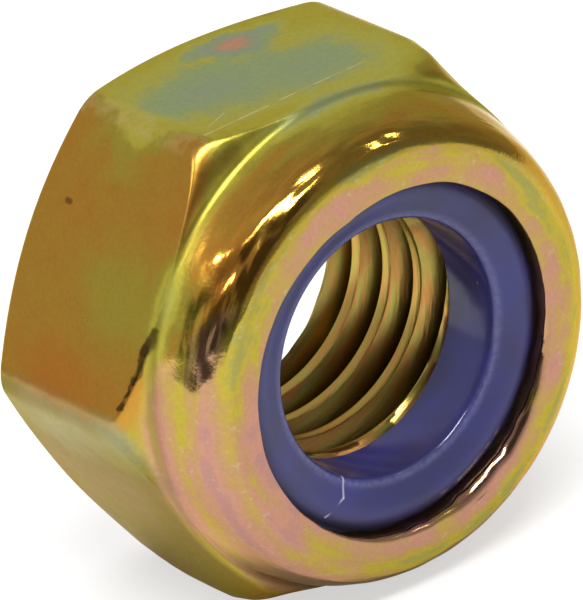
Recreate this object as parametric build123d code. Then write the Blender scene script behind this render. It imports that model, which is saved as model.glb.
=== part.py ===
from build123d import *
import os
from math import acos, atan2, cos, degrees, radians, sin, tan

# Hexagon lock nut M8 x 1.25 with a captive nylon ring, in millimetres.
# The nut lies on one of its six flats: +Z is up, the thread axis runs along Y, the collar
# faces -Y and the bearing face faces +Y. The origin is on the surface that the nut lies on,
# below the middle of its length.
# Heights are measured from the bearing face, along the nut's axis.

# Hexagon
across_flats = 13.0
corner_radius = 0.8           # rounding of the six long edges
bearing_face_inset = 0.45     # the flat bearing face ends this far inside the flats
bearing_chamfer_deg = 34.0    # chamfer from the bearing face out to the corners
shoulder_slope_deg = 14.0     # fall of the shoulder at the collar's foot
shoulder_crown_radius = 1.75  # the shoulder curves down towards the corners

# Thread
thread_major = 8.0
thread_pitch = 1.25
entry_relief = 0.2            # the bearing face's countersink is this much wider than the thread
exit_inset = 0.25             # the seat's countersink ends this far inside the thread's roots
countersink_deg = 120.0

# Collar, its pocket, and the rim that is rolled over the ring
nut_height = 8.0
collar_height = 1.95          # from the collar's foot to the front
collar_wall = 1.0
collar_inset = 0.03           # the collar's foot is this far inside the flats
collar_lean_deg = 8.0         # lean of the collar's side at its foot
collar_foot_fillet = 0.2
rim_round = 1.0
pocket_inset = 1.35           # the pocket's wall is this far inside the flats
pocket_depth = 2.5            # from the front to the ring's seat
lip_reach = 0.55              # the lip reaches this far inwards from the pocket's wall
lip_thickness = 0.55

# Nylon ring
ring_clearance = 0.02         # to the pocket's wall and to the lip; its back is on the seat
ring_bore_relief = 0.035      # the ring's bore is this much wider than the thread's crests
ring_bore_chamfer = 0.12
ring_face_drop = 0.1          # fall of the front face from the lip to the bore's chamfer
ring_face_crown = 0.05        # rise of the front face between the two

# Worked out from the sizes above
flat_distance = across_flats / 2
corner_distance = flat_distance / cos(radians(30))
bearing_face_radius = flat_distance - bearing_face_inset
thread_crest_radius = (thread_major - 1.0825 * thread_pitch) / 2
entry_radius = thread_major / 2 + entry_relief
exit_radius = thread_major / 2 - exit_inset
seat_height = nut_height - pocket_depth
collar_foot = (flat_distance - collar_inset, nut_height - collar_height)
pocket_radius = flat_distance - pocket_inset
rim_centre = (pocket_radius + collar_wall - rim_round, nut_height - rim_round)
lip_opening_radius = pocket_radius - lip_reach
lip_underside = nut_height - lip_thickness
curl_centre = (lip_opening_radius, lip_underside - lip_reach)

def arc_between(centre, radius, start_deg, end_deg):
    """An arc about a centre, between two angles measured from the outward radial direction."""
    return CenterArc(centre, radius, start_deg, end_deg - start_deg)


def shoulder_arc():
    """The convex shoulder, from beyond the corners up to the collar's foot."""
    foot_deg = 90 - shoulder_slope_deg
    centre = (collar_foot[0] - shoulder_crown_radius * cos(radians(foot_deg)),
              collar_foot[1] - shoulder_crown_radius * sin(radians(foot_deg)))
    outer_deg = degrees(acos((corner_distance - centre[0]) / shoulder_crown_radius))
    return arc_between(centre, shoulder_crown_radius, outer_deg, foot_deg)


def collar_arcs():
    """The collar's side, which leaves the foot with its lean and runs on smoothly into the rim."""
    across = collar_foot[0] - rim_centre[0]
    up = rim_centre[1] - collar_foot[1]
    lean = radians(collar_lean_deg)
    side_radius = (across ** 2 + up ** 2 - rim_round ** 2) / (
        2 * (across * cos(lean) - up * sin(lean) - rim_round))
    side_centre = (collar_foot[0] - side_radius * cos(lean),
                   collar_foot[1] - side_radius * sin(lean))
    join_deg = degrees(atan2(rim_centre[1] - side_centre[1], rim_centre[0] - side_centre[0]))
    side = arc_between(side_centre, side_radius, collar_lean_deg, join_deg)
    rim = arc_between(rim_centre, rim_round, join_deg, 90)
    return side, rim


def turned(section):
    """The solid that a section, drawn as radius and height, makes round the nut's axis."""
    return revolve(Plane.XZ * section, axis=Axis.Z)


def make_nut_body():
    """The forged and tapped nut: a turned form, cut by the rounded hexagon."""
    countersink_slope = tan(radians(countersink_deg / 2))
    entry_depth = (entry_radius - thread_crest_radius) / countersink_slope
    exit_depth = (exit_radius - thread_crest_radius) / countersink_slope
    chamfer_height = (corner_distance - bearing_face_radius) * tan(radians(bearing_chamfer_deg))

    shoulder = shoulder_arc()
    side, rim = collar_arcs()
    curl = arc_between(curl_centre, lip_reach, 90, 0)
    outside = Polyline((entry_radius, 0), (bearing_face_radius, 0),
                       (corner_distance, chamfer_height), shoulder @ 0)
    lip = Polyline(rim @ 1, (lip_opening_radius, nut_height), curl @ 0)
    bore = Polyline(curl @ 1, (pocket_radius, seat_height), (exit_radius, seat_height),
                    (thread_crest_radius, seat_height - exit_depth),
                    (thread_crest_radius, entry_depth), (entry_radius, 0))
    section = make_face([outside, shoulder, side, rim, lip, curl, bore])
    foot = section.vertices().sort_by_distance(Vector(*collar_foot))[0]
    section = fillet(foot, collar_foot_fillet)

    hexagon = RegularPolygon(flat_distance, 6, major_radius=False)
    hexagon = fillet(hexagon.vertices(), corner_radius)
    return turned(section) & extrude(hexagon, amount=nut_height)


def make_nylon_insert():
    """The moulded ring that fills the pocket below the rolled lip."""
    bore_radius = thread_crest_radius + ring_bore_relief
    lip_contact = (lip_opening_radius, lip_underside - ring_clearance)
    bore_edge = (bore_radius + ring_bore_chamfer, lip_contact[1] - ring_face_drop)
    face_middle = ((lip_contact[0] + bore_edge[0]) / 2,
                   (lip_contact[1] + bore_edge[1]) / 2 + ring_face_crown)

    wall_top = (pocket_radius - ring_clearance, curl_centre[1])
    face = ThreePointArc(bore_edge, face_middle, lip_contact)
    rest = Polyline(lip_contact, wall_top, (pocket_radius - ring_clearance, seat_height),
                    (bore_radius, seat_height), (bore_radius, bore_edge[1] - ring_bore_chamfer),
                    bore_edge)
    return turned(make_face([face, rest]))

# The nut's own axis is laid along -Y, at the height of a flat above the surface.
lying = Plane(origin=(0, nut_height / 2, flat_distance), x_dir=(1, 0, 0), z_dir=(0, -1, 0))

nut_body = lying * make_nut_body()
nylon_insert = lying * make_nylon_insert()

os.makedirs("parts", exist_ok=True)
export_step(nut_body, "parts/nut_body.step")
export_step(nylon_insert, "parts/nylon_insert.step")
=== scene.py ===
# Hexagon lock nut M8 x 1.25 with a captive nylon ring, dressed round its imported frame.
# Each piece is made in millimetres, standing on its bearing face with the thread axis along Z,
# and is then laid on its flat where the frame has it, in metres.
from math import acos, atan2, cos, degrees, hypot, pi, radians, sin, sqrt, tan

import bmesh
import bpy
import numpy as np
from mathutils import Matrix, Vector, noise


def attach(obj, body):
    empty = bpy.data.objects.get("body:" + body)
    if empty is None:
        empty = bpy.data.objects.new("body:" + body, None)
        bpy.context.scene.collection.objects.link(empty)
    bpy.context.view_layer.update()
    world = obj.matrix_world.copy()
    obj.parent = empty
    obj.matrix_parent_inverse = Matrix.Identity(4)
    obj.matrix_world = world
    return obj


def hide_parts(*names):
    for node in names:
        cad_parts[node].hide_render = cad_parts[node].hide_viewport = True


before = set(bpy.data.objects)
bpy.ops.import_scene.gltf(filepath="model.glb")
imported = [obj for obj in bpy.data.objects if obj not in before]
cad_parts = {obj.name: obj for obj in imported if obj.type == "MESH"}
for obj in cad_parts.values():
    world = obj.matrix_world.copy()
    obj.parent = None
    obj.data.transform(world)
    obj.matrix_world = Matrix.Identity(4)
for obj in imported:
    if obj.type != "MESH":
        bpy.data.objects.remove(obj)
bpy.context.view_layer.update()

# ---------------------------------------------------------------------------------------------
# Nut body: one cold forged piece of steel, tapped right-handed, its collar rolled in over the
# nylon ring, and plated with zinc under a yellow passivation. The skin is turned from one
# section and pressed to the rounded hexagon; the thread is a screwed profile let into its bore.
nut_height = 8.0
flat_distance = 6.5
corner_round = 0.8
corner_reach = 7.38             # from the axis to the middle of a rounded corner
turned_reach = 7.62             # the turned form goes past the corners before it is pressed
bearing_face_radius = 6.05
bearing_chamfer_deg = 34.0
edge_softness = 0.14            # how far the pressed edges are rounded
collar_foot = (6.48, 6.05)
foot_round = 0.12
shoulder_slope_deg = 14.0
shoulder_crown_radius = 1.75
collar_lean_deg = 10.0
rim_round = 1.0
rim_centre = (5.15, 7.0)
lip_radius = 4.6
lip_edge_round = 0.3
lip_thickness = 0.55
pocket_radius = 5.15
seat_height = 5.5
# The forging dies left two opposite corners short at their shoulder end, and one of the two is
# worn at its bearing end as well
short_corners_deg = (60, 240)
short_corner_depth = 0.62
short_corner_from = 4.2
short_corner_run = 1.8          # height over which it grows
short_corner_curve = 2.37
worn_corner_deg = 240
worn_corner_depth = 0.36
worn_corner_to = 3.0
worn_corner_curve = 1.6
corner_span_deg = 30            # how far round a short or worn corner goes, to each side
# Rolling left waves on the collar, deepest at its upper left
ripple_depth = 0.05
ripple_from = -0.1              # height less radius where the waves begin above the collar's foot
ripple_run = 0.8                # and how much further on they have grown
ripple_front_run = 0.12         # they die out this near to the front
ripple_deep_deg = 130
ripple_least = 0.3
# The rolled lip is not quite round: angle seen from the collar, and radius of its opening. Its
# edge is fully rounded and torn at the lower right, and nearly sharp elsewhere
lip_opening = ((-165, 4.69), (-120, 4.68), (-84, 4.62), (-48, 4.54), (-10, 4.49), (35, 4.52),
               (75, 4.47), (107, 4.36), (135, 4.53), (160, 4.64))
torn_deg = -62
sharp_edge_share = 0.12         # of lip_edge_round, where the edge is sharpest
lip_wave = 0.03
lip_tear = 0.03
lip_tear_least = 0.006
# The thread's own profile, and the countersinks and margins at its two ends
thread_major_radius = 4.0
thread_crest_radius = 3.3234
thread_pitch = 1.25
thread_start = 1.76             # height of a crest's middle straight across +X
thread_angle_deg = 30           # of each flank
crest_ease = 0.05               # the flanks are straight but for these depths at crest and root
root_ease = 0.06
entry_radius = 4.2
exit_radius = 3.75
countersink_slope = tan(radians(60))
mouth_margin = 0.1              # the skin stops this far from the thread, and is joined across
seat_margin = 0.15
steps_round = 540               # of the skin
turns = 7
steps_per_turn = 180
turns_below_start = 3
thread_merging = 0.002
sharp_from_deg = 42             # edges that bend more than this stay crisp
slack = 0.01                    # allowed when points are told apart by where they are
millimetre = 0.001              # in the frame's metres


def arc_points(centre, radius, start_deg, end_deg, steps):
    """Points of an arc in a section, which is drawn as radius and height."""
    angles = [radians(start_deg + (end_deg - start_deg) * i / steps) for i in range(steps + 1)]
    return [(centre[0] + radius * cos(a), centre[1] + radius * sin(a)) for a in angles]


def line_points(start, end, steps):
    """Points of a straight run in a section."""
    return [(start[0] + (end[0] - start[0]) * i / steps, start[1] + (end[1] - start[1]) * i / steps)
            for i in range(steps + 1)]


def rounded_points(before, corner, after, steps):
    """Points that round a section's corner, on a quadratic curve."""
    points = []
    for i in range(steps + 1):
        t = i / steps
        points.append(tuple((1 - t) ** 2 * b + 2 * t * (1 - t) * c + t * t * a
                            for b, c, a in zip(before, corner, after)))
    return points


def clear_of_foot(points):
    """The points of a section that the round of the collar's foot leaves standing."""
    return [p for p in points if hypot(p[0] - collar_foot[0], p[1] - collar_foot[1]) > foot_round]


def draw_section(bm, points):
    """The edges of a section in the XZ plane, with repeated points left out."""
    kept = [points[0]]
    for p in points[1:]:
        if hypot(p[0] - kept[-1][0], p[1] - kept[-1][1]) > 1e-4:
            kept.append(p)
    verts = [bm.verts.new((r, 0, h)) for r, h in kept]
    edges = [bm.edges.new(pair) for pair in zip(verts, verts[1:])]
    return verts + edges


def lay_down(bm):
    """Turns a piece from standing on its bearing face to where the frame has it, in metres."""
    onto_flat = Matrix.Rotation(radians(90), 4, "X")
    place = Matrix.Translation((0, nut_height / 2, flat_distance)) @ onto_flat
    bmesh.ops.transform(bm, matrix=Matrix.Scale(millimetre, 4) @ place, verts=bm.verts)


def make_object(name, bm):
    """The finished mesh as an object at the origin, smooth apart from its crisp edges."""
    mesh = bpy.data.meshes.new(name)
    bm.to_mesh(mesh)
    bm.free()
    mesh.shade_smooth()
    mesh.set_sharp_from_angle(angle=radians(sharp_from_deg))
    piece = bpy.data.objects.new(name, mesh)
    bpy.context.scene.collection.objects.link(piece)
    return piece


def hexagon_radius(angle):
    """Distance from the axis to the outline of the hexagon with its rounded corners."""
    from_flat = abs(angle % radians(60) - radians(30))
    if flat_distance * tan(from_flat) < (flat_distance - corner_round) * tan(radians(30)):
        return flat_distance / cos(from_flat)
    from_corner = radians(30) - from_flat
    centre = (flat_distance - corner_round) / cos(radians(30))
    return centre * cos(from_corner) + sqrt(corner_round ** 2 - (centre * sin(from_corner)) ** 2)


def corner_shortfall(angle, height):
    """How far a short or worn corner stays inside the hexagon towards its ends."""
    share = (hexagon_radius(angle) - flat_distance) / (corner_reach - flat_distance)
    off_worn = abs((degrees(angle) - worn_corner_deg + 180) % 360 - 180)
    if off_worn < corner_span_deg and height < worn_corner_to:
        return worn_corner_depth * share * (1 - height / worn_corner_to) ** worn_corner_curve
    for corner_deg in short_corners_deg:
        off_corner = abs((degrees(angle) - corner_deg + 180) % 360 - 180)
        if off_corner < corner_span_deg and height > short_corner_from:
            rise = min((height - short_corner_from) / short_corner_run, 1.0)
            return short_corner_depth * share * rise ** short_corner_curve
    return 0.0


def softer_least(a, b, softness):
    """The smaller of two sizes, rounded where they meet."""
    overlap = max(softness - abs(a - b), 0.0)
    return min(a, b) - overlap * overlap / (4 * softness)


def wander(angle, lumps, along, shift=0.0):
    """Smooth unevenness round the axis, finer with more lumps, that changes along it too."""
    return noise.noise((lumps * cos(angle) + shift, lumps * sin(angle), along))


# Section of the skin, from the countersink's mouth in the bearing face round to the ring's seat.
# The shoulder is an arc that ends at the collar's foot, and the collar's side is an arc that
# starts there with its lean and runs into the rim's round
foot_deg = 90 - shoulder_slope_deg
shoulder_centre = (collar_foot[0] - shoulder_crown_radius * cos(radians(foot_deg)),
                   collar_foot[1] - shoulder_crown_radius * sin(radians(foot_deg)))
shoulder_outer_deg = degrees(acos((turned_reach - shoulder_centre[0]) / shoulder_crown_radius))
shoulder = arc_points(shoulder_centre, shoulder_crown_radius, shoulder_outer_deg, foot_deg, 26)
shoulder = clear_of_foot(shoulder)

across = collar_foot[0] - rim_centre[0]
up = rim_centre[1] - collar_foot[1]
lean = radians(collar_lean_deg)
side_radius = across ** 2 + up ** 2 - rim_round ** 2
side_radius /= 2 * (across * cos(lean) - up * sin(lean) - rim_round)
side_centre = (collar_foot[0] - side_radius * cos(lean), collar_foot[1] - side_radius * sin(lean))
join_deg = degrees(atan2(rim_centre[1] - side_centre[1], rim_centre[0] - side_centre[0]))
side = clear_of_foot(arc_points(side_centre, side_radius, collar_lean_deg, join_deg, 9))
rim = arc_points(rim_centre, rim_round, join_deg, 90, 16)

chamfer_rise = (turned_reach - bearing_face_radius) * tan(radians(bearing_chamfer_deg))
chamfer_top = (turned_reach, chamfer_rise)
lip_edge = (lip_radius + lip_edge_round, nut_height - lip_edge_round)   # middle of its round
lip_reach = pocket_radius - lip_radius
lip_underside = nut_height - lip_thickness
curl_height = lip_underside - lip_reach
section = line_points((entry_radius + mouth_margin, 0), (bearing_face_radius, 0), 6)
section += line_points((bearing_face_radius, 0), chamfer_top, 34)
section += line_points(chamfer_top, shoulder[0], 7)
section += shoulder
section += rounded_points(shoulder[-1], collar_foot, side[0], 6)
section += side
section += rim
section += line_points(rim[-1], (lip_edge[0], nut_height), 6)
section += arc_points(lip_edge, lip_edge_round, 90, 180, 6)
section += line_points((lip_radius, lip_edge[1]), (lip_radius, lip_underside), 6)
section += arc_points((lip_radius, curl_height), lip_reach, 90, 0, 6)
section += line_points((pocket_radius, curl_height), (pocket_radius, seat_height), 2)
section += line_points((pocket_radius, seat_height),
                       (thread_major_radius + seat_margin, seat_height), 3)

skin = bmesh.new()
outline = draw_section(skin, section)
bmesh.ops.spin(skin, geom=outline, cent=(0, 0, 0), axis=(0, 0, 1), dvec=(0, 0, 0),
               angle=2 * pi, steps=steps_round, use_merge=True)

lip_angles = [a for a, r in lip_opening]
lip_radii = [r for a, r in lip_opening]
press_from = bearing_face_radius - 0.3      # what lies nearer to the axis isn't pressed


def opening_radius(angle):
    """The lip's own opening at an angle round the axis."""
    return float(np.interp(degrees(angle), lip_angles, lip_radii, period=360))


# The hexagon is pressed out of the turned form, the rolled rim gets its ripples, and the lip gets
# its own uneven opening and edge
for v in skin.verts:
    radius = hypot(v.co.x, v.co.y)
    angle = atan2(v.co.y, v.co.x)
    height = v.co.z
    towards_tear = max(cos(angle - radians(torn_deg)), 0.0)
    if radius < lip_edge[0] + slack and height > lip_edge[1] - slack:
        edge_share = sharp_edge_share + (1 - sharp_edge_share) * towards_tear ** 1.5
        edge_share *= 1 + 0.35 * wander(angle, 6, 2.0)
        drawn_in = lip_radius + (radius - lip_radius) * edge_share
        v.co.x *= drawn_in / radius
        v.co.y *= drawn_in / radius
        v.co.z = nut_height + (height - nut_height) * edge_share
        radius = drawn_in
        height = v.co.z
    pressed = radius
    if radius > press_from:
        outline_radius = hexagon_radius(angle) - corner_shortfall(angle, height)
        pressed = softer_least(radius, outline_radius, edge_softness)
        run = height - radius
        rippled = min(max((run - ripple_from) / ripple_run, 0.0), 1.0)
        rippled *= min((nut_height - height) / ripple_front_run, 1.0)
        if rippled > 0:
            wave = wander(angle, 3.9, 1.5 * run)
            wave += 0.8 * wander(angle, 9.0, 3.2 * run, shift=5)
            upper_left = max(cos(angle - radians(ripple_deep_deg)), 0.0)
            rippled *= ripple_least + (1 - ripple_least) * upper_left
            on_rim = min(max(height - rim_centre[1], 0.0), 1.0)
            pressed += ripple_depth * (wave - 0.3) * rippled
            v.co.z -= 0.5 * ripple_depth * abs(wave) * on_rim * rippled
    elif height > curl_height - slack:
        near_lip = min(max((pocket_radius - radius) / lip_reach, 0.0), 1.0)
        waves = lip_wave * wander(angle, 3, 0.4 * height)
        waves += (lip_tear_least + lip_tear * towards_tear) * wander(angle, 11, 2.2 * height)
        pressed = radius + (opening_radius(angle) - lip_radius + waves) * near_lip
    v.co.x *= pressed / radius
    v.co.y *= pressed / radius

# Thread: the profile goes from the middle of one crest down its flank to the root and up again,
# a pitch further on. It is screwed through the bore, opened at both countersinks and trimmed
flank_slope = tan(radians(thread_angle_deg))
flank = (thread_major_radius - thread_crest_radius) * flank_slope
crest_half = thread_pitch / 8
profile = [(thread_crest_radius, 0.0)]
profile += line_points((thread_crest_radius, crest_half * 0.7),
                       (thread_crest_radius + 0.02, crest_half * 1.1), 1)
profile += line_points((thread_crest_radius + crest_ease, crest_half + crest_ease * flank_slope),
                       (thread_major_radius - root_ease,
                        crest_half + flank - root_ease * flank_slope), 4)
profile += line_points((thread_major_radius - 0.015, crest_half + flank - 0.01),
                       (thread_major_radius, thread_pitch / 2), 1)
profile += [(r, thread_pitch - h) for r, h in reversed(profile[:-1])]
thread = bmesh.new()
first_turn = draw_section(thread, profile)
bmesh.ops.spin(thread, geom=first_turn, cent=(0, 0, 0), axis=(0, 0, 1),
               dvec=(0, 0, thread_pitch / steps_per_turn), angle=2 * pi * turns,
               steps=turns * steps_per_turn)
lowest_crest = thread_start - turns_below_start * thread_pitch
bmesh.ops.translate(thread, vec=(0, 0, lowest_crest), verts=thread.verts)
bmesh.ops.remove_doubles(thread, verts=thread.verts, dist=thread_merging)
for v in thread.verts:
    radius = hypot(v.co.x, v.co.y)
    opened = max(radius, entry_radius - countersink_slope * v.co.z,
                 exit_radius - countersink_slope * (seat_height - v.co.z))
    v.co.x *= opened / radius
    v.co.y *= opened / radius
for end_height, outward in ((0.0, -1), (seat_height, 1)):
    bmesh.ops.bisect_plane(thread, geom=thread.verts[:] + thread.edges[:] + thread.faces[:],
                           dist=1e-5, plane_co=(0, 0, end_height), plane_no=(0, 0, outward),
                           clear_outer=True)

thread_mesh = bpy.data.meshes.new("thread_turns")
thread.to_mesh(thread_mesh)
thread.free()
skin.from_mesh(thread_mesh)
bpy.data.meshes.remove(thread_mesh)
for end_height in (0.0, seat_height):
    seam = [e for e in skin.edges if e.is_boundary
            and all(abs(v.co.z - end_height) < 1e-4 for v in e.verts)]
    bmesh.ops.triangle_fill(skin, edges=seam, use_beauty=True, use_dissolve=False)
bmesh.ops.recalc_face_normals(skin, faces=skin.faces)
lay_down(skin)
nut_body = make_object("nut_body_forged", skin)


def add_node(tree, kind, feeds=None, **settings):
    """A node with its settings; each feed is a value or another node's output."""
    made = tree.nodes.new(kind)
    for name, value in settings.items():
        setattr(made, name, value)
    for name, value in (feeds or {}).items():
        if isinstance(value, bpy.types.NodeSocket):
            tree.links.new(value, made.inputs[name])
        else:
            made.inputs[name].default_value = value
    return made


def fade(tree, value, start, end, low=0.0, high=1.0):
    """A smooth step of a value, from low at its start to high at its end."""
    made = add_node(tree, "ShaderNodeMapRange", {"Value": value, "From Min": start, "From Max": end,
                                                 "To Min": low, "To Max": high},
                    interpolation_type="SMOOTHSTEP")
    return made.outputs["Result"]


def work_out(tree, operation, a, b=0.0, c=0.0):
    """One step of arithmetic on values that change over the surface."""
    return add_node(tree, "ShaderNodeMath", {0: a, 1: b, 2: c}, operation=operation).outputs[0]


def centred(tree, value):
    """Noise, which lies round a half, moved to lie round nothing."""
    return work_out(tree, "SUBTRACT", value, 0.5)


def vector_step(tree, operation, *vectors, scale=None):
    """One step of arithmetic on vectors, with a vector as its result."""
    feeds = dict(enumerate(vectors))
    if scale is not None:
        feeds["Scale"] = scale
    return add_node(tree, "ShaderNodeVectorMath", feeds, operation=operation).outputs["Vector"]


def measure(tree, operation, *vectors):
    """One step of arithmetic on vectors, with a number as its result."""
    return add_node(tree, "ShaderNodeVectorMath", dict(enumerate(vectors)),
                    operation=operation).outputs["Value"]


def mix_colours(tree, share, first, second, blend="MIX"):
    """Two colours mixed by a mask."""
    made = add_node(tree, "ShaderNodeMix", {"Factor": share, 6: first, 7: second},
                    data_type="RGBA", blend_type=blend)
    return made.outputs[2]


def mix_values(tree, share, first, second):
    """Two values mixed by a mask."""
    return add_node(tree, "ShaderNodeMix", {"Factor": share, "A": first, "B": second},
                    data_type="FLOAT").outputs["Result"]


def cloud(tree, place, scale, detail=3.0, roughness=0.5, distortion=0.0):
    """Soft noise between 0 and 1; the scale is in lumps per millimetre."""
    return add_node(tree, "ShaderNodeTexNoise",
                    {"Vector": place, "Scale": scale, "Detail": detail, "Roughness": roughness,
                     "Distortion": distortion}).outputs["Fac"]


def new_group(name, inputs, outputs):
    """An empty node group with its sockets, and its two end nodes."""
    group = bpy.data.node_groups.new(name, "ShaderNodeTree")
    for title, kind in inputs.items():
        group.interface.new_socket(name=title, in_out="INPUT", socket_type="NodeSocket" + kind)
    for title, kind in outputs.items():
        group.interface.new_socket(name=title, in_out="OUTPUT", socket_type="NodeSocket" + kind)
    return group, group.nodes.new("NodeGroupInput"), group.nodes.new("NodeGroupOutput")


def new_material(name):
    """A material, its node tree and its shader."""
    made = bpy.data.materials.new(name)
    made.use_nodes = True
    return made, made.node_tree, made.node_tree.nodes["Principled BSDF"]


def srgb(red, green, blue):
    """A colour as a paint chip reads, 0 to 255, as the shader wants it."""
    return tuple(c / 255 / 12.92 if c < 10.3 else ((c / 255 + 0.055) / 1.055) ** 2.4
                 for c in (red, green, blue)) + (1.0,)


# The place on the nut in millimetres, standing on its bearing face: a vector, the distance
# from the axis and the height
nut_place, ins, outs = new_group("nut_place", {"Vector": "Vector"},
                                 {"Place": "Vector", "Radius": "Float", "Height": "Float"})
standing = add_node(nut_place, "ShaderNodeMapping",
                    {"Vector": ins.outputs["Vector"], "Location": (0, -flat_distance, nut_height / 2),
                     "Rotation": (radians(-90), 0, 0),
                     "Scale": (1 / millimetre,) * 3}).outputs["Vector"]
apart = add_node(nut_place, "ShaderNodeSeparateXYZ", {0: standing})
level = add_node(nut_place, "ShaderNodeCombineXYZ", {0: apart.outputs[0], 1: apart.outputs[1]})
nut_place.links.new(standing, outs.inputs["Place"])
nut_place.links.new(measure(nut_place, "LENGTH", level.outputs[0]), outs.inputs["Radius"])
nut_place.links.new(apart.outputs[2], outs.inputs["Height"])

# A patch of thicker or thinner passivation round a centre, with a ragged edge
film_patch, ins, outs = new_group("film_patch", {"Film": "Float", "Place": "Vector",
                                                 "Centre": "Vector", "Stretch": "Vector",
                                                 "Reach": "Float", "Level": "Float"},
                                  {"Film": "Float"})
away = vector_step(film_patch, "SUBTRACT", ins.outputs["Place"], ins.outputs["Centre"])
away = vector_step(film_patch, "MULTIPLY", away, ins.outputs["Stretch"])
away = measure(film_patch, "LENGTH", away)
ragged = cloud(film_patch, ins.outputs["Place"], 1.1, 3.0, 0.6)
ragged = work_out(film_patch, "MULTIPLY_ADD", ragged, 1.5, -0.75)
ragged = work_out(film_patch, "ADD", away, ragged)
ragged = work_out(film_patch, "DIVIDE", ragged, ins.outputs["Reach"])
inside = fade(film_patch, ragged, 1.1, 0.0)
film_patch.links.new(mix_values(film_patch, inside, ins.outputs["Film"], ins.outputs["Level"]),
                     outs.inputs["Film"])

# The colours that the passivation's film goes through as it gets thicker, on the flats and on
# the front, where the rolling has worked the steel
flat_colours = ((0.00, srgb(151, 98, 38)), (0.16, srgb(145, 109, 42)), (0.30, srgb(137, 122, 46)),
                (0.42, srgb(156, 146, 56)), (0.54, srgb(156, 152, 72)), (0.66, srgb(132, 146, 108)),
                (0.76, srgb(129, 141, 121)), (0.84, srgb(156, 132, 112)), (0.92, srgb(178, 128, 106)),
                (1.00, srgb(176, 142, 80)))
front_colours = ((0.00, srgb(164, 157, 82)), (0.22, srgb(184, 166, 62)), (0.42, srgb(186, 154, 88)),
                 (0.60, srgb(188, 146, 106)), (0.78, srgb(194, 142, 120)), (1.00, srgb(184, 136, 126)))
film_tint = (0.80, 0.72, 0.50, 1)       # the film looks deeper at a glancing angle
low_flat_brown = srgb(146, 122, 82)
low_flat_pale_green = srgb(172, 172, 138)
worn_metal = srgb(176, 154, 104)
scratched_metal = srgb(190, 182, 150)
junction_dark_brown = srgb(58, 42, 20)
speck_brown = srgb(84, 52, 26)
crumb_cream = srgb(206, 192, 160)
foot_olive = srgb(120, 112, 40)
tapped_brown = srgb(188, 132, 74)
tapped_olive = srgb(168, 158, 80)
# painted shade for the thread's valleys, towards the root
root_painted_shade = srgb(92, 80, 36)
top_flat_deg = 90
next_flat_deg = 150
low_flat_deg = 210
low_left_deg = 222
right_deg = 50
# Painted light and shade: how bright the film is made on each zone, to follow how lit each looks
side_shading_gain = 1.50
front_shading_gain = 0.77
top_flat_shading_gain = 1.52
low_flat_shading_gain = (0.64, 1.18)            # from its upper edge to its lower one
# Heights of the finest relief, in metres
ripple_bump = 0.00003
cut_bump = 0.00003
grain_bump = 0.00001


def place_on_nut(tree):
    """The place on the nut, its distance from the axis and its height, for one material."""
    position = add_node(tree, "ShaderNodeTexCoord").outputs["Object"]
    spot = add_node(tree, "ShaderNodeGroup", {"Vector": position}, node_tree=nut_place)
    return spot.outputs["Place"], spot.outputs["Radius"], spot.outputs["Height"]


def add_film_patch(tree, film, place, centre, reach, level, stretch):
    """The film's thickness with one patch laid into it."""
    return add_node(tree, "ShaderNodeGroup",
                    {"Film": film, "Place": place, "Centre": centre, "Stretch": stretch,
                     "Reach": reach, "Level": level}, node_tree=film_patch).outputs["Film"]


def colour_ramp(tree, value, colours):
    """A value turned into a colour."""
    made = add_node(tree, "ShaderNodeValToRGB", {"Fac": value})
    made.color_ramp.interpolation = "EASE"
    while len(made.color_ramp.elements) < len(colours):
        made.color_ramp.elements.new(0.5)
    for stop, (at, colour) in zip(made.color_ramp.elements, colours):
        stop.position = at
        stop.color = colour
    return made.outputs["Color"]


def reach_towards(tree, vector, facing_deg):
    """How far a vector goes in one direction across the axis."""
    facing = (cos(radians(facing_deg)), sin(radians(facing_deg)), 0)
    return measure(tree, "DOT_PRODUCT", vector, facing)


def flat_mask(tree, place, facing_deg):
    """Where the flat is that faces one way."""
    across_axis = reach_towards(tree, place, facing_deg)
    return fade(tree, across_axis, flat_distance - 0.5, flat_distance - 0.08)


def scratch(tree, place, start, end, width):
    """Where a fine line runs from one place to another."""
    along = Vector(end) - Vector(start)
    from_start = vector_step(tree, "SUBTRACT", place, start)
    share = measure(tree, "DOT_PRODUCT", from_start, (along / along.length_squared)[:])
    share = add_node(tree, "ShaderNodeClamp", {"Value": share}).outputs[0]
    nearest = vector_step(tree, "SCALE", along[:], scale=share)
    return fade(tree, measure(tree, "DISTANCE", from_start, nearest), width, width * 0.4)


steel, tree, shader = new_material("yellow_passivated_zinc")
shader.inputs["Metallic"].default_value = 1.0
shader.inputs["Specular Tint"].default_value = film_tint
place, radius, height = place_on_nut(tree)

# Coordinates drawn out round the axis, for marks left by rolling and tapping: the direction from
# the axis and the run over the collar from its foot to the lip
run = work_out(tree, "SUBTRACT", height, radius)
outward = vector_step(tree, "NORMALIZE", vector_step(tree, "MULTIPLY", place, (1, 1, 0)))
around = vector_step(tree, "SCALE", outward, scale=2.0)
run_up = add_node(tree, "ShaderNodeCombineXYZ", {2: work_out(tree, "MULTIPLY", run, 1.5)})
rolled_place = vector_step(tree, "ADD", around, run_up.outputs[0])
tapped_up = add_node(tree, "ShaderNodeCombineXYZ", {2: work_out(tree, "MULTIPLY", height, 13.0)})
tapped_place = vector_step(tree, "SCALE", outward, scale=3.5)
tapped_place = vector_step(tree, "ADD", tapped_place, tapped_up.outputs[0])
broad = cloud(tree, place, 0.32, 3.0, 0.55, 0.6)
fine = cloud(tree, place, 1.6, 4.0, 0.6)
grit = cloud(tree, place, 9.0, 2.0, 0.5)
rolled = cloud(tree, rolled_place, 1.0, 3.0, 0.55, 0.3)
tapped = cloud(tree, tapped_place, 1.0, 3.0, 0.6)

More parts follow.
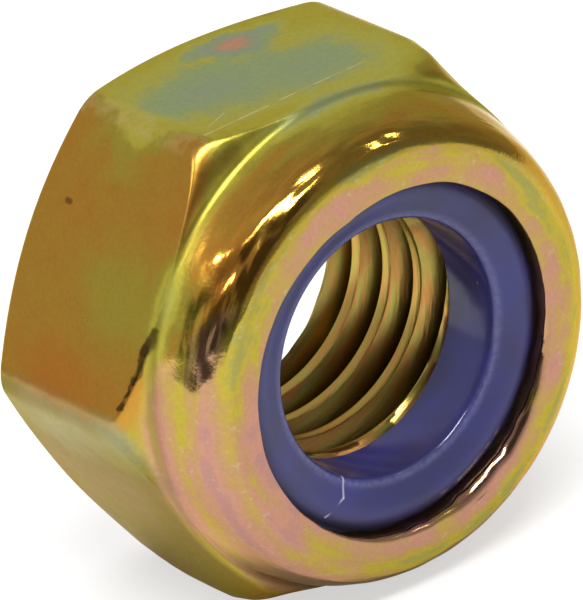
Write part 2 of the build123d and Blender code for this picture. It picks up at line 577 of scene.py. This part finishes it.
# Zones: the front face, the front with the part of the rim that took the same colours, the
# bore, and the three flats that have film of their own
front_face = fade(tree, height, nut_height - 0.10, nut_height - 0.015)
towards_low_left = reach_towards(tree, outward, low_left_deg)
towards_right = reach_towards(tree, outward, right_deg)
front_from = fade(tree, towards_low_left, 0.10, 0.75, 2.35, -0.9)
front_from = work_out(tree, "SUBTRACT", front_from, 0.5)
front_start = work_out(tree, "MULTIPLY_ADD", rolled, 1.0, front_from)
front = fade(tree, work_out(tree, "SUBTRACT", run, front_start), -0.25, 0.45)
bore = fade(tree, radius, 4.35, 4.15)
top_flat = flat_mask(tree, place, top_flat_deg)
next_flat = flat_mask(tree, place, next_flat_deg)
low_flat = flat_mask(tree, place, low_flat_deg)

# Thickness of the film: its level on the collar and on each flat, and then the patches
film = work_out(tree, "MULTIPLY_ADD", rolled, 0.40, fade(tree, run, -0.7, 0.7, -0.04, -0.12))
film = work_out(tree, "ADD", film, fade(tree, towards_right, -0.1, 0.8, 0.0, 0.12))
for flat, unevenness, level in ((top_flat, 0.26, 0.28), (next_flat, 0.28, -0.02),
                                (low_flat, 0.35, 0.06)):
    film = mix_values(tree, flat, film, work_out(tree, "MULTIPLY_ADD", broad, unevenness, level))
film = work_out(tree, "MULTIPLY_ADD", centred(tree, fine), 0.12, film)
for centre, reach, level, stretch in (
        ((-1.6, 6.5, 3.1), 3.0, 0.73, (0.75, 1, 1.1)),      # grey-green heart of the upper flat
        ((1.2, 6.5, 4.0), 2.6, 0.70, (0.8, 1, 1)),
        ((0.6, 6.5, 1.4), 1.5, 0.90, (0.8, 1, 1.5)),        # pink fleck behind it
        ((-6.0, 2.9, 4.6), 2.6, 0.28, (1, 1, 0.8)),         # olive heart of the next flat
        ((-7.2, -0.7, 2.6), 1.8, 0.60, (1, 1, 0.40)),       # pale green edge of the flat below
        ((-7.2, 0.5, 2.9), 1.6, 0.00, (1, 1, 0.50)),        # orange above it
        ((-5.7, 3.1, 6.3), 1.2, 0.34, (1, 1, 1))):          # olive at the collar's foot beside it
    film = add_film_patch(tree, film, place, centre, reach, level, stretch)
# A greener line at the collar's foot
foot_line = work_out(tree, "MULTIPLY", fade(tree, run, -0.95, -0.45), fade(tree, run, 0.30, -0.30))
film = work_out(tree, "MULTIPLY_ADD", foot_line, 0.18, film)

# The front's own film, in bands that follow the rolling
bands = work_out(tree, "MULTIPLY_ADD", run, 3.6, work_out(tree, "MULTIPLY", rolled, 5.0))
bands = work_out(tree, "SINE", bands)
front_film = work_out(tree, "MULTIPLY_ADD", rolled, 1.1, -0.12)
front_film = work_out(tree, "MULTIPLY_ADD", bands, 0.24, front_film)
thicker = fade(tree, towards_low_left, -0.2, 0.9, -0.06, 0.12)
front_film = work_out(tree, "ADD", front_film, thicker)
front_film = work_out(tree, "MULTIPLY_ADD", centred(tree, broad), 0.9, front_film)
front_film = work_out(tree, "MULTIPLY_ADD", centred(tree, fine), 0.8, front_film)
colour = mix_colours(tree, front, colour_ramp(tree, film, flat_colours),
                     colour_ramp(tree, front_film, front_colours))

# Duller brown over the middle of the flat below, with paler green patches along its upper edge
low_flat_brown_share = measure(tree, "DISTANCE", place, (-6.1, -2.6, 2.6))
low_flat_brown_share = fade(tree, work_out(tree, "MULTIPLY_ADD", fine, 1.6, low_flat_brown_share), 3.9, 1.9)
low_flat_brown_share = work_out(tree, "MULTIPLY", low_flat_brown_share, low_flat)
colour = mix_colours(tree, work_out(tree, "MULTIPLY", low_flat_brown_share, 0.8), colour, low_flat_brown)
for centre, reach in (((-7.1, -0.85, 2.4), 1.9), ((-7.35, -0.3, 5.4), 1.5), ((-7.2, -0.5, 3.9), 1.3)):
    low_flat_pale_share = measure(tree, "DISTANCE", place, centre)
    low_flat_pale_share = work_out(tree, "MULTIPLY_ADD", fine, 0.8, low_flat_pale_share)
    low_flat_pale_share = fade(tree, low_flat_pale_share, reach + 0.4, 0.4, 0.0, 0.75)
    colour = mix_colours(tree, work_out(tree, "MULTIPLY", low_flat_pale_share, low_flat), colour, low_flat_pale_green)
# Pale metal shows along the corners' edges and in the scratches
worn = work_out(tree, "MULTIPLY", fade(tree, radius, corner_reach - 0.11, corner_reach),
                fade(tree, fine, 0.36, 0.62))
colour = mix_colours(tree, work_out(tree, "MULTIPLY", worn, 0.38), colour, worn_metal)
for start, end, width in (((-3.28, 6.5, 5.24), (-1.2, 6.5, 5.12), 0.05),
                          ((-0.9, 6.5, 5.10), (2.0, 6.5, 4.92), 0.04),
                          ((-2.9, 6.5, 4.9), (-2.2, 6.5, 4.6), 0.03),
                          ((-6.95, 1.7, 3.1), (-6.6, 2.2, 3.3), 0.025)):
    line = scratch(tree, place, start, end, width)
    line = work_out(tree, "MULTIPLY", line, fade(tree, fine, 0.40, 0.55, 0.15, 0.6))
    colour = mix_colours(tree, line, colour, scratched_metal)
# A dark ragged line where the next flat meets the shoulder, wider towards the collar
shaken = add_node(tree, "ShaderNodeTexNoise", {"Vector": place, "Scale": 1.7, "Detail": 3.0})
shaken = vector_step(tree, "SUBTRACT", shaken.outputs["Color"], (0.5, 0.5, 0.5))
shaken = vector_step(tree, "MULTIPLY_ADD", shaken, (0.5, 0.5, 0.5), place)
for start, end, width in (((-7.17, 0.58, 5.67), (-6.73, 1.34, 5.82), 0.10),
                          ((-6.73, 1.34, 5.82), (-6.35, 2.0, 5.98), 0.16),
                          ((-6.35, 2.0, 5.98), (-6.12, 2.40, 6.05), 0.22)):
    line = scratch(tree, shaken, start, end, width)
    line = work_out(tree, "MULTIPLY", line, fade(tree, fine, 0.2, 0.5, 0.55, 0.9))
    colour = mix_colours(tree, line, colour, junction_dark_brown)
# A dark speck on the next flat, and pale crumbs on the front
speck = scratch(tree, place, (-5.03, 4.28, 1.46), (-5.03, 4.28, 1.60), 0.11)
colour = mix_colours(tree, work_out(tree, "MULTIPLY", speck, 0.75), colour, speck_brown)
crumbs = fade(tree, cloud(tree, place, 4.2, 2.0, 0.6), 0.62, 0.72)
crumbs = work_out(tree, "MULTIPLY", crumbs, front)
colour = mix_colours(tree, work_out(tree, "MULTIPLY", crumbs, 0.26), colour, crumb_cream)

# Painted light and shade: the film's brightness set zone by zone to follow how lit each looks, with
# the plating's grain in it
# The collar's side gets painted light on its left and painted shade towards its upper right
side_light_and_shade = work_out(tree, "MULTIPLY", fade(tree, run, -0.6, 0.2), fade(tree, run, 2.6, 2.2))
side_light_and_shade = work_out(tree, "MULTIPLY", side_light_and_shade, fade(tree, towards_right, 0.9, 0.1, -0.15, 0.45))
shading_and_grain_gain = mix_values(tree, front, work_out(tree, "ADD", side_light_and_shade, side_shading_gain), front_shading_gain)
shading_and_grain_gain = mix_values(tree, top_flat, shading_and_grain_gain, top_flat_shading_gain)
across_flat = add_node(tree, "ShaderNodeSeparateXYZ", {0: place}).outputs["Y"]
# Darker at the upper edge of the flat below and brighter at its lower edge: painted shade and light
shading_and_grain_gain = mix_values(tree, low_flat, shading_and_grain_gain, fade(tree, across_flat, -0.6, -4.6, *low_flat_shading_gain))
shading_and_grain_gain = work_out(tree, "MULTIPLY", shading_and_grain_gain, work_out(tree, "MULTIPLY_ADD", grit, 0.24, 0.88))
shading_and_grain_grey = add_node(tree, "ShaderNodeCombineColor", {0: shading_and_grain_gain, 1: shading_and_grain_gain, 2: shading_and_grain_gain}).outputs[0]
colour = mix_colours(tree, 1.0, colour, shading_and_grain_grey, "MULTIPLY")
in_foot = work_out(tree, "MULTIPLY", fade(tree, run, -0.66, -0.46), fade(tree, run, -0.18, -0.38))
colour = mix_colours(tree, work_out(tree, "MULTIPLY", in_foot, 0.45), colour, foot_olive)
# Browner metal where the tap has cut, in fine rings, with painted shade darkening it towards the
# thread's root
tapped_colour_and_root_shade = mix_colours(tree, fade(tree, tapped, 0.35, 0.65), tapped_brown, tapped_olive)
tapped_colour_and_root_shade = mix_colours(tree, fade(tree, radius, 3.42, 3.90), tapped_colour_and_root_shade, root_painted_shade)
colour = mix_colours(tree, bore, colour, tapped_colour_and_root_shade)
tree.links.new(colour, shader.inputs["Base Color"])

# Satin front, brighter rim, soft flats
rough = work_out(tree, "MULTIPLY_ADD", fine, 0.16, 0.22)
rim_rough = work_out(tree, "MULTIPLY_ADD", fine, 0.10, 0.08)
rough = mix_values(tree, fade(tree, height, 6.1, 6.6), rough, rim_rough)
rough = mix_values(tree, front_face, rough, work_out(tree, "MULTIPLY_ADD", fine, 0.2, 0.30))
rough = work_out(tree, "MULTIPLY_ADD", foot_line, 0.10, rough)
rough = mix_values(tree, bore, rough, 0.30)
tree.links.new(rough, shader.inputs["Roughness"])

# Small ripples left by the rolling, tool marks in the thread, and the plating's grain all over
ripple = cloud(tree, rolled_place, 2.1, 1.5, 0.45, 0.5)
on_rim = work_out(tree, "MULTIPLY", fade(tree, run, 0.2, 1.1), fade(tree, run, 2.75, 2.4))
ripple = work_out(tree, "MULTIPLY", ripple, work_out(tree, "MULTIPLY_ADD", on_rim, 0.9, 0.1))
relief = add_node(tree, "ShaderNodeBump", {"Strength": 0.5, "Distance": ripple_bump,
                                           "Height": ripple})
cuts = add_node(tree, "ShaderNodeBump", {"Strength": 0.4, "Distance": cut_bump,
                                         "Height": work_out(tree, "MULTIPLY", tapped, bore),
                                         "Normal": relief.outputs["Normal"]})
grain = add_node(tree, "ShaderNodeBump", {"Strength": 0.25, "Distance": grain_bump, "Height": grit,
                                          "Normal": cuts.outputs["Normal"]})
tree.links.new(grain.outputs["Normal"], shader.inputs["Normal"])
nut_body.data.materials.append(steel)
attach(nut_body, "root")
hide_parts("nut_body")

# ---------------------------------------------------------------------------------------------
# Nylon ring: one moulded ring, dropped on the seat and held down by the rolled lip. No bolt has
# cut it yet, so its bore is plain; the lip has squeezed its front face up inside the opening.
ring_bore_radius = 3.36
ring_bore_round = 0.16
ring_gap = 0.02                 # left between the ring and the pocket's wall
ring_lift = 0.01                # of its underside over the seat
ring_lip_gap = 0.03             # the face's swell ends this far inside the lip's opening
ring_under_lip = 0.04           # and its curl down into the pocket starts this far beyond it
ring_curl_drop = 0.01
ring_face_height = 7.43
ring_inner_drop = 0.13          # of the face at the bore, below its height at the lip
ring_swell = 0.17               # how far the face stands up between the two
ring_swell_lean = 1.6           # above 1 the swell is highest nearer to the lip
ring_swell_fullness = 0.8
ring_face_steps = 20
ring_steps_round = 288
ring_merging = 0.012            # above ring_lift, so the section's two ends close
ring_dark = (0.026, 0.025, 0.085, 1)
ring_blue = (0.029, 0.029, 0.132, 1)
# The pale blue is a painted highlight for the bore's rounded edge, the near black painted shade under
# the lip
ring_painted_highlight = (0.16, 0.16, 0.34, 1)
ring_painted_shade = (0.014, 0.013, 0.030, 1)
fibre_pale = (0.42, 0.42, 0.50, 1)
fleck_pale = (0.30, 0.30, 0.42, 1)

ring_top = (ring_bore_radius + ring_bore_round, ring_face_height - ring_inner_drop)
ring_outer = pocket_radius - ring_gap
bore_top = ring_top[1] - ring_bore_round
ring_section = line_points((ring_bore_radius, seat_height), (ring_bore_radius, bore_top), 8)
ring_section += arc_points((ring_top[0], bore_top), ring_bore_round, 180, 90, 6)
for i in range(1, ring_face_steps + 1):
    t = i / ring_face_steps
    swell = ring_swell * sin(pi * t ** ring_swell_lean) ** ring_swell_fullness
    ring_section.append((ring_top[0] + (lip_radius - ring_lip_gap - ring_top[0]) * t,
                         ring_top[1] + ring_inner_drop * t + swell))
ring_section += line_points((lip_radius - ring_lip_gap, ring_face_height),
                            (lip_radius + ring_under_lip, ring_face_height - ring_curl_drop), 1)
ring_section += arc_points((lip_radius, curl_height), lip_reach - ring_gap, 84, 0, 7)
ring_section += line_points((ring_outer, curl_height), (ring_outer, seat_height + ring_lift), 2)
ring_section += line_points((ring_outer, seat_height + ring_lift),
                            (ring_bore_radius, seat_height + ring_lift), 3)

ring = bmesh.new()
bmesh.ops.spin(ring, geom=draw_section(ring, ring_section), cent=(0, 0, 0), axis=(0, 0, 1),
               dvec=(0, 0, 0), angle=2 * pi, steps=ring_steps_round, use_merge=True)
bmesh.ops.remove_doubles(ring, verts=ring.verts, dist=ring_merging)
# The face follows the lip's uneven opening
for v in ring.verts:
    radius = hypot(v.co.x, v.co.y)
    if v.co.z > curl_height and radius > ring_top[0]:
        opening = opening_radius(atan2(v.co.y, v.co.x))
        share = min((radius - ring_top[0]) / (lip_radius - ring_top[0]),
                    (ring_outer - radius) / (ring_outer - lip_radius))
        pressed = radius + (opening - lip_radius) * share
        v.co.x *= pressed / radius
        v.co.y *= pressed / radius
bmesh.ops.recalc_face_normals(ring, faces=ring.faces)
lay_down(ring)
nylon_ring = make_object("nylon_ring_moulded", ring)

nylon, tree, shader = new_material("blue_nylon")
shader.inputs["Specular IOR Level"].default_value = 0.35
place, radius = place_on_nut(tree)[:2]
soft = cloud(tree, place, 0.7, 3.0, 0.5)
dust = cloud(tree, place, 7.0, 2.0, 0.6)
ring_colour_and_painted_light = mix_colours(tree, fade(tree, soft, 0.3, 0.7), ring_dark, ring_blue)
# Painted highlight along the rounded edge of the bore, its strength varied by noise, and painted shade
# darkening the face towards the lip, under its overhang
bore_edge_highlight = work_out(tree, "MULTIPLY", fade(tree, radius, ring_bore_radius, ring_bore_radius + 0.09),
                fade(tree, radius, ring_bore_radius + 0.30, ring_bore_radius + 0.12))
bore_edge_highlight = work_out(tree, "MULTIPLY", bore_edge_highlight, fade(tree, dust, 0.3, 0.7, 0.12, 0.32))
ring_colour_and_painted_light = mix_colours(tree, bore_edge_highlight, ring_colour_and_painted_light, ring_painted_highlight)
ring_colour_and_painted_light = mix_colours(tree, fade(tree, radius, 4.15, 4.7, 0.0, 0.55), ring_colour_and_painted_light, ring_painted_shade)
# A pale fibre lies over the lower left of the face
fibre_bends = ((-1.95, -2.73, 6.6), (-1.86, -2.85, 7.28), (-2.04, -3.28, 7.42),
               (-2.45, -3.40, 7.5), (-2.75, -3.50, 7.55))
for start, end in zip(fibre_bends, fibre_bends[1:]):
    fibre = scratch(tree, place, start, end, 0.045)
    ring_colour_and_painted_light = mix_colours(tree, work_out(tree, "MULTIPLY", fibre, 0.6), ring_colour_and_painted_light, fibre_pale)
flecks = fade(tree, cloud(tree, place, 2.6, 0.0, 0.0), 0.86, 0.89)
ring_colour_and_painted_light = mix_colours(tree, work_out(tree, "MULTIPLY", flecks, 0.6), ring_colour_and_painted_light, fleck_pale)
tree.links.new(ring_colour_and_painted_light, shader.inputs["Base Color"])
# Glossy bore, satin face
face = fade(tree, radius, ring_bore_radius + 0.04, ring_bore_radius + 0.16)
dull = work_out(tree, "MULTIPLY_ADD", dust, 0.16, 0.36)
tree.links.new(mix_values(tree, face, 0.14, dull), shader.inputs["Roughness"])
soft_bump = add_node(tree, "ShaderNodeBump", {"Strength": 0.3, "Distance": ripple_bump,
                                              "Height": soft})
dust_bump = add_node(tree, "ShaderNodeBump", {"Strength": 0.25, "Distance": grain_bump,
                                              "Height": dust, "Normal": soft_bump.outputs["Normal"]})
tree.links.new(dust_bump.outputs["Normal"], shader.inputs["Normal"])
nylon_ring.data.materials.append(nylon)
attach(nylon_ring, "root")
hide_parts("nylon_insert")

# ---------------------------------------------------------------------------------------------
# Floor: a plain pale sheet under the nut, nearly white to the camera, that keeps the nut's
# shadow.
floor_radius = 1.2
floor_colour = (0.85, 0.85, 0.84, 1)
white_to_camera = 0.6
white_in_metal = 0.12

floor = bmesh.new()
bmesh.ops.create_circle(floor, cap_ends=True, segments=96, radius=floor_radius)
floor_sheet = make_object("floor_sheet", floor)
paper = bpy.data.materials.new("floor_paper")
paper.use_nodes = True
tree = paper.node_tree
tree.nodes.clear()
surface = add_node(tree, "ShaderNodeOutputMaterial")
lit = add_node(tree, "ShaderNodeBsdfDiffuse", {"Color": floor_colour})
white = add_node(tree, "ShaderNodeEmission")
seen = add_node(tree, "ShaderNodeLightPath")
whiteness = work_out(tree, "MULTIPLY", seen.outputs["Is Glossy Ray"], white_in_metal)
whiteness = work_out(tree, "MULTIPLY_ADD", seen.outputs["Is Camera Ray"], white_to_camera, whiteness)
blend = add_node(tree, "ShaderNodeMixShader", {0: whiteness, 1: lit.outputs[0], 2: white.outputs[0]})
tree.links.new(blend.outputs[0], surface.inputs["Surface"])
floor_sheet.data.materials.append(paper)

# ---------------------------------------------------------------------------------------------
# World and lamps: white to the camera, and to the nut a pale backdrop behind it and a darker room
# before it, with two darker places that the rolled rim mirrors. Soft lamps hang over it.
front_level = 0.36
back_level = 0.85
dark_places = (((-0.32, -0.76, 0.56), 0.84, 0.95, 0.22), ((-0.95, -0.19, 0.25), 0.91, 0.98, 0.25))
nut_middle = (0, 0, 0.0065)

world = bpy.data.worlds.new("studio")
bpy.context.scene.world = world
world.use_nodes = True
tree = world.node_tree
tree.nodes.clear()
surface = add_node(tree, "ShaderNodeOutputWorld")
where = add_node(tree, "ShaderNodeTexCoord").outputs["Generated"]
depth = add_node(tree, "ShaderNodeSeparateXYZ", {0: where}).outputs["Y"]
level = fade(tree, depth, -0.45, 0.55, front_level, back_level)
for facing, start, end, left in dark_places:
    near = measure(tree, "DOT_PRODUCT", where, Vector(facing).normalized()[:])
    level = work_out(tree, "MULTIPLY", level, fade(tree, near, start, end, 1.0, left))
seen = add_node(tree, "ShaderNodeLightPath")
level = mix_values(tree, seen.outputs["Is Camera Ray"], level, 1.0)
light = add_node(tree, "ShaderNodeBackground", {"Strength": level})
tree.links.new(light.outputs[0], surface.inputs["Surface"])


def soft_light(name, direction, distance, width, depth, power):
    """A rectangular soft light that faces the nut from a direction."""
    lamp = bpy.data.lights.new(name, "AREA")
    lamp.shape = "RECTANGLE"
    lamp.size = width
    lamp.size_y = depth
    lamp.energy = power
    holder = bpy.data.objects.new(name, lamp)
    towards = Vector(direction).normalized()
    holder.location = Vector(nut_middle) + towards * distance
    holder.rotation_euler = towards.to_track_quat("Z", "Y").to_euler()
    bpy.context.scene.collection.objects.link(holder)
    return holder


soft_light("overhead_strip", (-0.24, -0.40, 0.86), 0.45, 0.26, 0.08, 2.3)
overhead_soft = soft_light("overhead_soft", (0.0, 0.25, 0.97), 0.60, 0.7, 0.5, 2.0)
overhead_soft.visible_glossy = False    # kept out of the rolled rim
soft_light("left_card", (-0.74, 0.12, 0.66), 0.45, 0.09, 0.05, 0.36)
soft_light("right_card", (0.54, -0.53, 0.65), 0.45, 0.035, 0.025, 0.09)

# Camera: its place, the way it looks, and what is right and up in its picture
camera_lens = 497.38
camera_place = (-0.10863087, -0.15308379, 0.09593301)
look_way = Vector((0.521454, 0.737873, -0.428520))
right_way = Vector((0.779964, -0.615846, -0.111315))
up_way = Vector((0.346039, 0.276185, 0.896649))

camera = bpy.data.objects.new("camera", bpy.data.cameras.new("camera"))
camera.data.lens = camera_lens
camera.data.clip_start = 0.01
turned = Matrix((right_way, up_way, -look_way)).transposed().to_4x4()
camera.matrix_world = Matrix.Translation(camera_place) @ turned
bpy.context.scene.collection.objects.link(camera)
bpy.context.scene.camera = camera
bpy.context.scene.view_settings.view_transform = "Standard"
